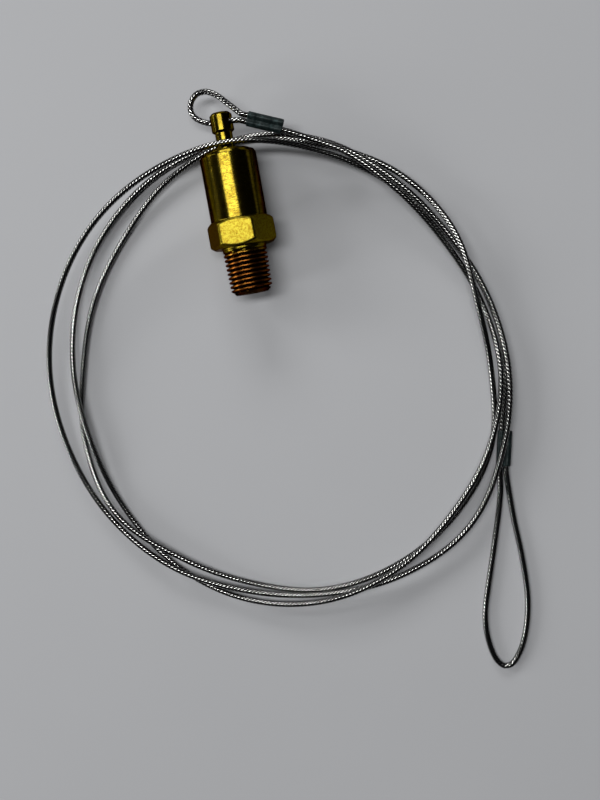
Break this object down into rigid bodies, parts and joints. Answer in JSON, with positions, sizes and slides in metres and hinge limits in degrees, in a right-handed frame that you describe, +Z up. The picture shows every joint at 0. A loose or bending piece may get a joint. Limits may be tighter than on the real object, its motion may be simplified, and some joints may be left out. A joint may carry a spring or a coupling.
{
  "type": "pull-cable drain valve",
  "caption": "Spring-closed brass drain valve with a tapered pipe thread, wrench hexagon and pull stem, opened by a long coiled wire cable with a crimped finger loop.",
  "frame": {"origin": "on the resting surface, below the middle of the valve's length", "axes": "+Y along the valve's axis from the pipe thread to the pull stem, +Z up through the hexagon's top flat, +X across the valve to the side that the cable leaves"},
  "size_m": [0.1515, 0.2023, 0.019],
  "materials": {
    "brass": "bright turned brass with fine tool rings",
    "cable": "bare stranded wire",
    "ferrule": "dark satin, crimped",
    "spring_steel": "plain drawn wire and plain washer",
    "rubber": "matt black"
  },
  "bodies": {
    "housing": {"valve_body": "brass", "guide_bush": "brass", "spring_washer": "spring_steel", "return_spring": "spring_steel"},
    "plunger": {"pull_stem": "brass", "poppet": "brass", "seat_disc": "rubber", "disc_washer": "brass", "disc_screw": "brass", "stem_eye_loop": "cable", "stem_ferrule": "ferrule", "cable_coil": "cable", "finger_ferrule": "ferrule", "finger_loop": "cable"}
  },
  "joints": [
    {"name": "stem_pull", "type": "slide", "parent": "housing", "child": "plunger", "axis": [0, 1, 0], "range_m": [0, 0.0045], "stiffness_N_per_m": 2400, "springref_m": -0.01, "deforming": ["return_spring"]}
  ]
}
